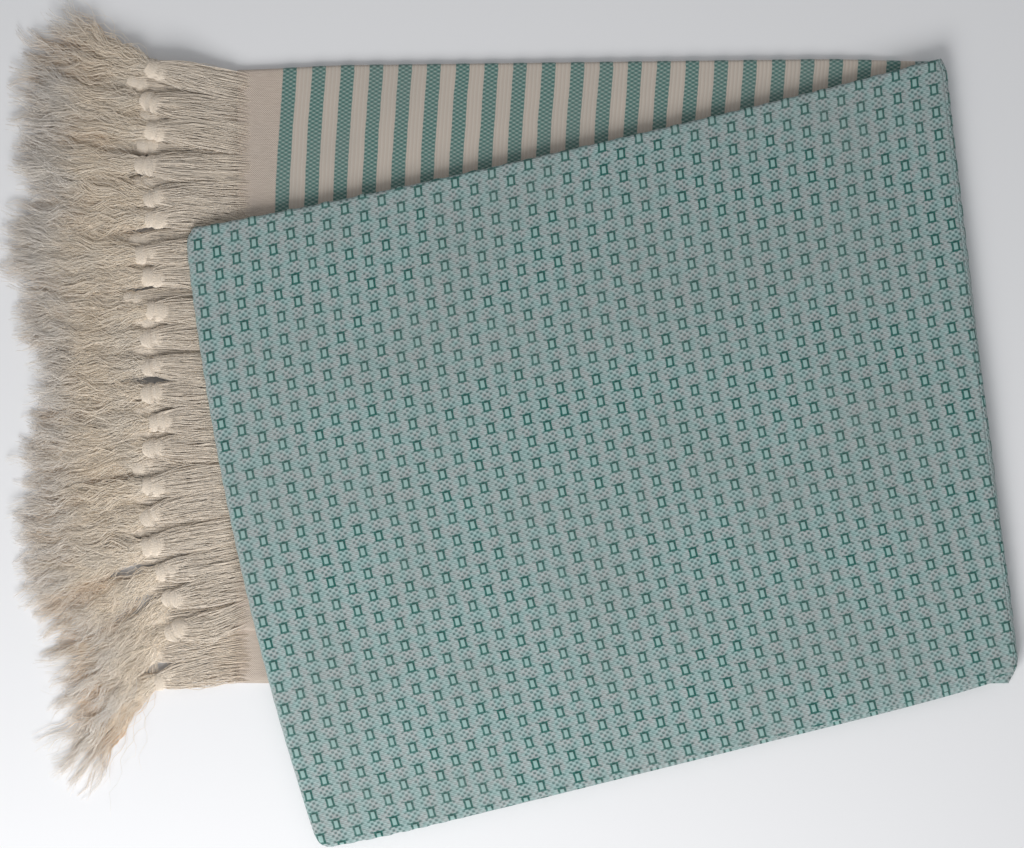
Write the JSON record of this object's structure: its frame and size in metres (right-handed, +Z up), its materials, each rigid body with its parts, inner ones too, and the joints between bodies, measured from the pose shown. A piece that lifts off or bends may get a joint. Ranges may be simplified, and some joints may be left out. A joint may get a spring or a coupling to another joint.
{
  "type": "bath towel",
  "caption": "Fringed flat-woven cotton bath towel, folded lengthwise and crosswise, with a flap that opens.",
  "frame": {"origin": "bottom centre of the whole folded towel", "axes": "+X along the base away from the fringe, +Y towards the lengthwise fold, +Z up"},
  "size_m": [0.8416, 0.6944, 0.014],
  "materials": {
    "striped_weave": "cream cotton with teal birdseye bands, flat woven",
    "block_weave": "teal and grey-beige cotton with a raised all-over block weave",
    "plain_hem": "undyed cream cotton, plain weave",
    "cream_yarn": "undyed cream cotton yarn, loosely twisted and knotted"
  },
  "bodies": {
    "base": {"base_lower_layer": "striped_weave", "base_lower_hem": "plain_hem", "base_upper_layer": "striped_weave", "base_upper_hem": "plain_hem", "base_back_fold": "striped_weave", "crosswise_fold_outer": "block_weave", "crosswise_fold_inner": "block_weave", "lower_tassel_01": "cream_yarn", "lower_tassel_02": "cream_yarn", "lower_tassel_03": "cream_yarn", "lower_tassel_04": "cream_yarn", "lower_tassel_05": "cream_yarn", "lower_tassel_06": "cream_yarn", "lower_tassel_07": "cream_yarn", "lower_tassel_08": "cream_yarn", "lower_tassel_09": "cream_yarn", "lower_tassel_10": "cream_yarn", "lower_tassel_11": "cream_yarn", "lower_tassel_12": "cream_yarn", "lower_tassel_13": "cream_yarn", "lower_tassel_14": "cream_yarn", "lower_tassel_15": "cream_yarn", "lower_tassel_16": "cream_yarn", "lower_tassel_17": "cream_yarn", "lower_tassel_18": "cream_yarn", "lower_tassel_19": "cream_yarn", "lower_tassel_20": "cream_yarn", "upper_tassel_01": "cream_yarn", "upper_tassel_02": "cream_yarn", "upper_tassel_03": "cream_yarn", "upper_tassel_04": "cream_yarn", "upper_tassel_05": "cream_yarn", "upper_tassel_06": "cream_yarn", "upper_tassel_07": "cream_yarn", "upper_tassel_08": "cream_yarn", "upper_tassel_09": "cream_yarn", "upper_tassel_10": "cream_yarn", "upper_tassel_11": "cream_yarn", "upper_tassel_12": "cream_yarn", "upper_tassel_13": "cream_yarn", "upper_tassel_14": "cream_yarn", "upper_tassel_15": "cream_yarn", "upper_tassel_16": "cream_yarn", "upper_tassel_17": "cream_yarn", "upper_tassel_18": "cream_yarn", "upper_tassel_19": "cream_yarn", "upper_tassel_20": "cream_yarn"},
    "flap": {"flap_upper_layer": "block_weave", "flap_lower_layer": "block_weave", "flap_back_fold": "block_weave", "end_fold_outer": "block_weave", "end_fold_inner": "block_weave", "tucked_lower_layer": "block_weave", "tucked_lower_hem": "plain_hem", "tucked_lower_tassels": "cream_yarn", "tucked_upper_layer": "block_weave", "tucked_upper_hem": "plain_hem", "tucked_upper_tassels": "cream_yarn", "tucked_back_fold": "block_weave"}
  },
  "joints": [
    {"name": "flap_fold", "type": "hinge", "parent": "base", "child": "flap", "pos_m": [0.35956, 0.29614, 0.007], "axis": [-0.1071, 0.9942, 0], "range_deg": [0, 180], "deforming": ["crosswise_fold_outer", "crosswise_fold_inner"]}
  ]
}
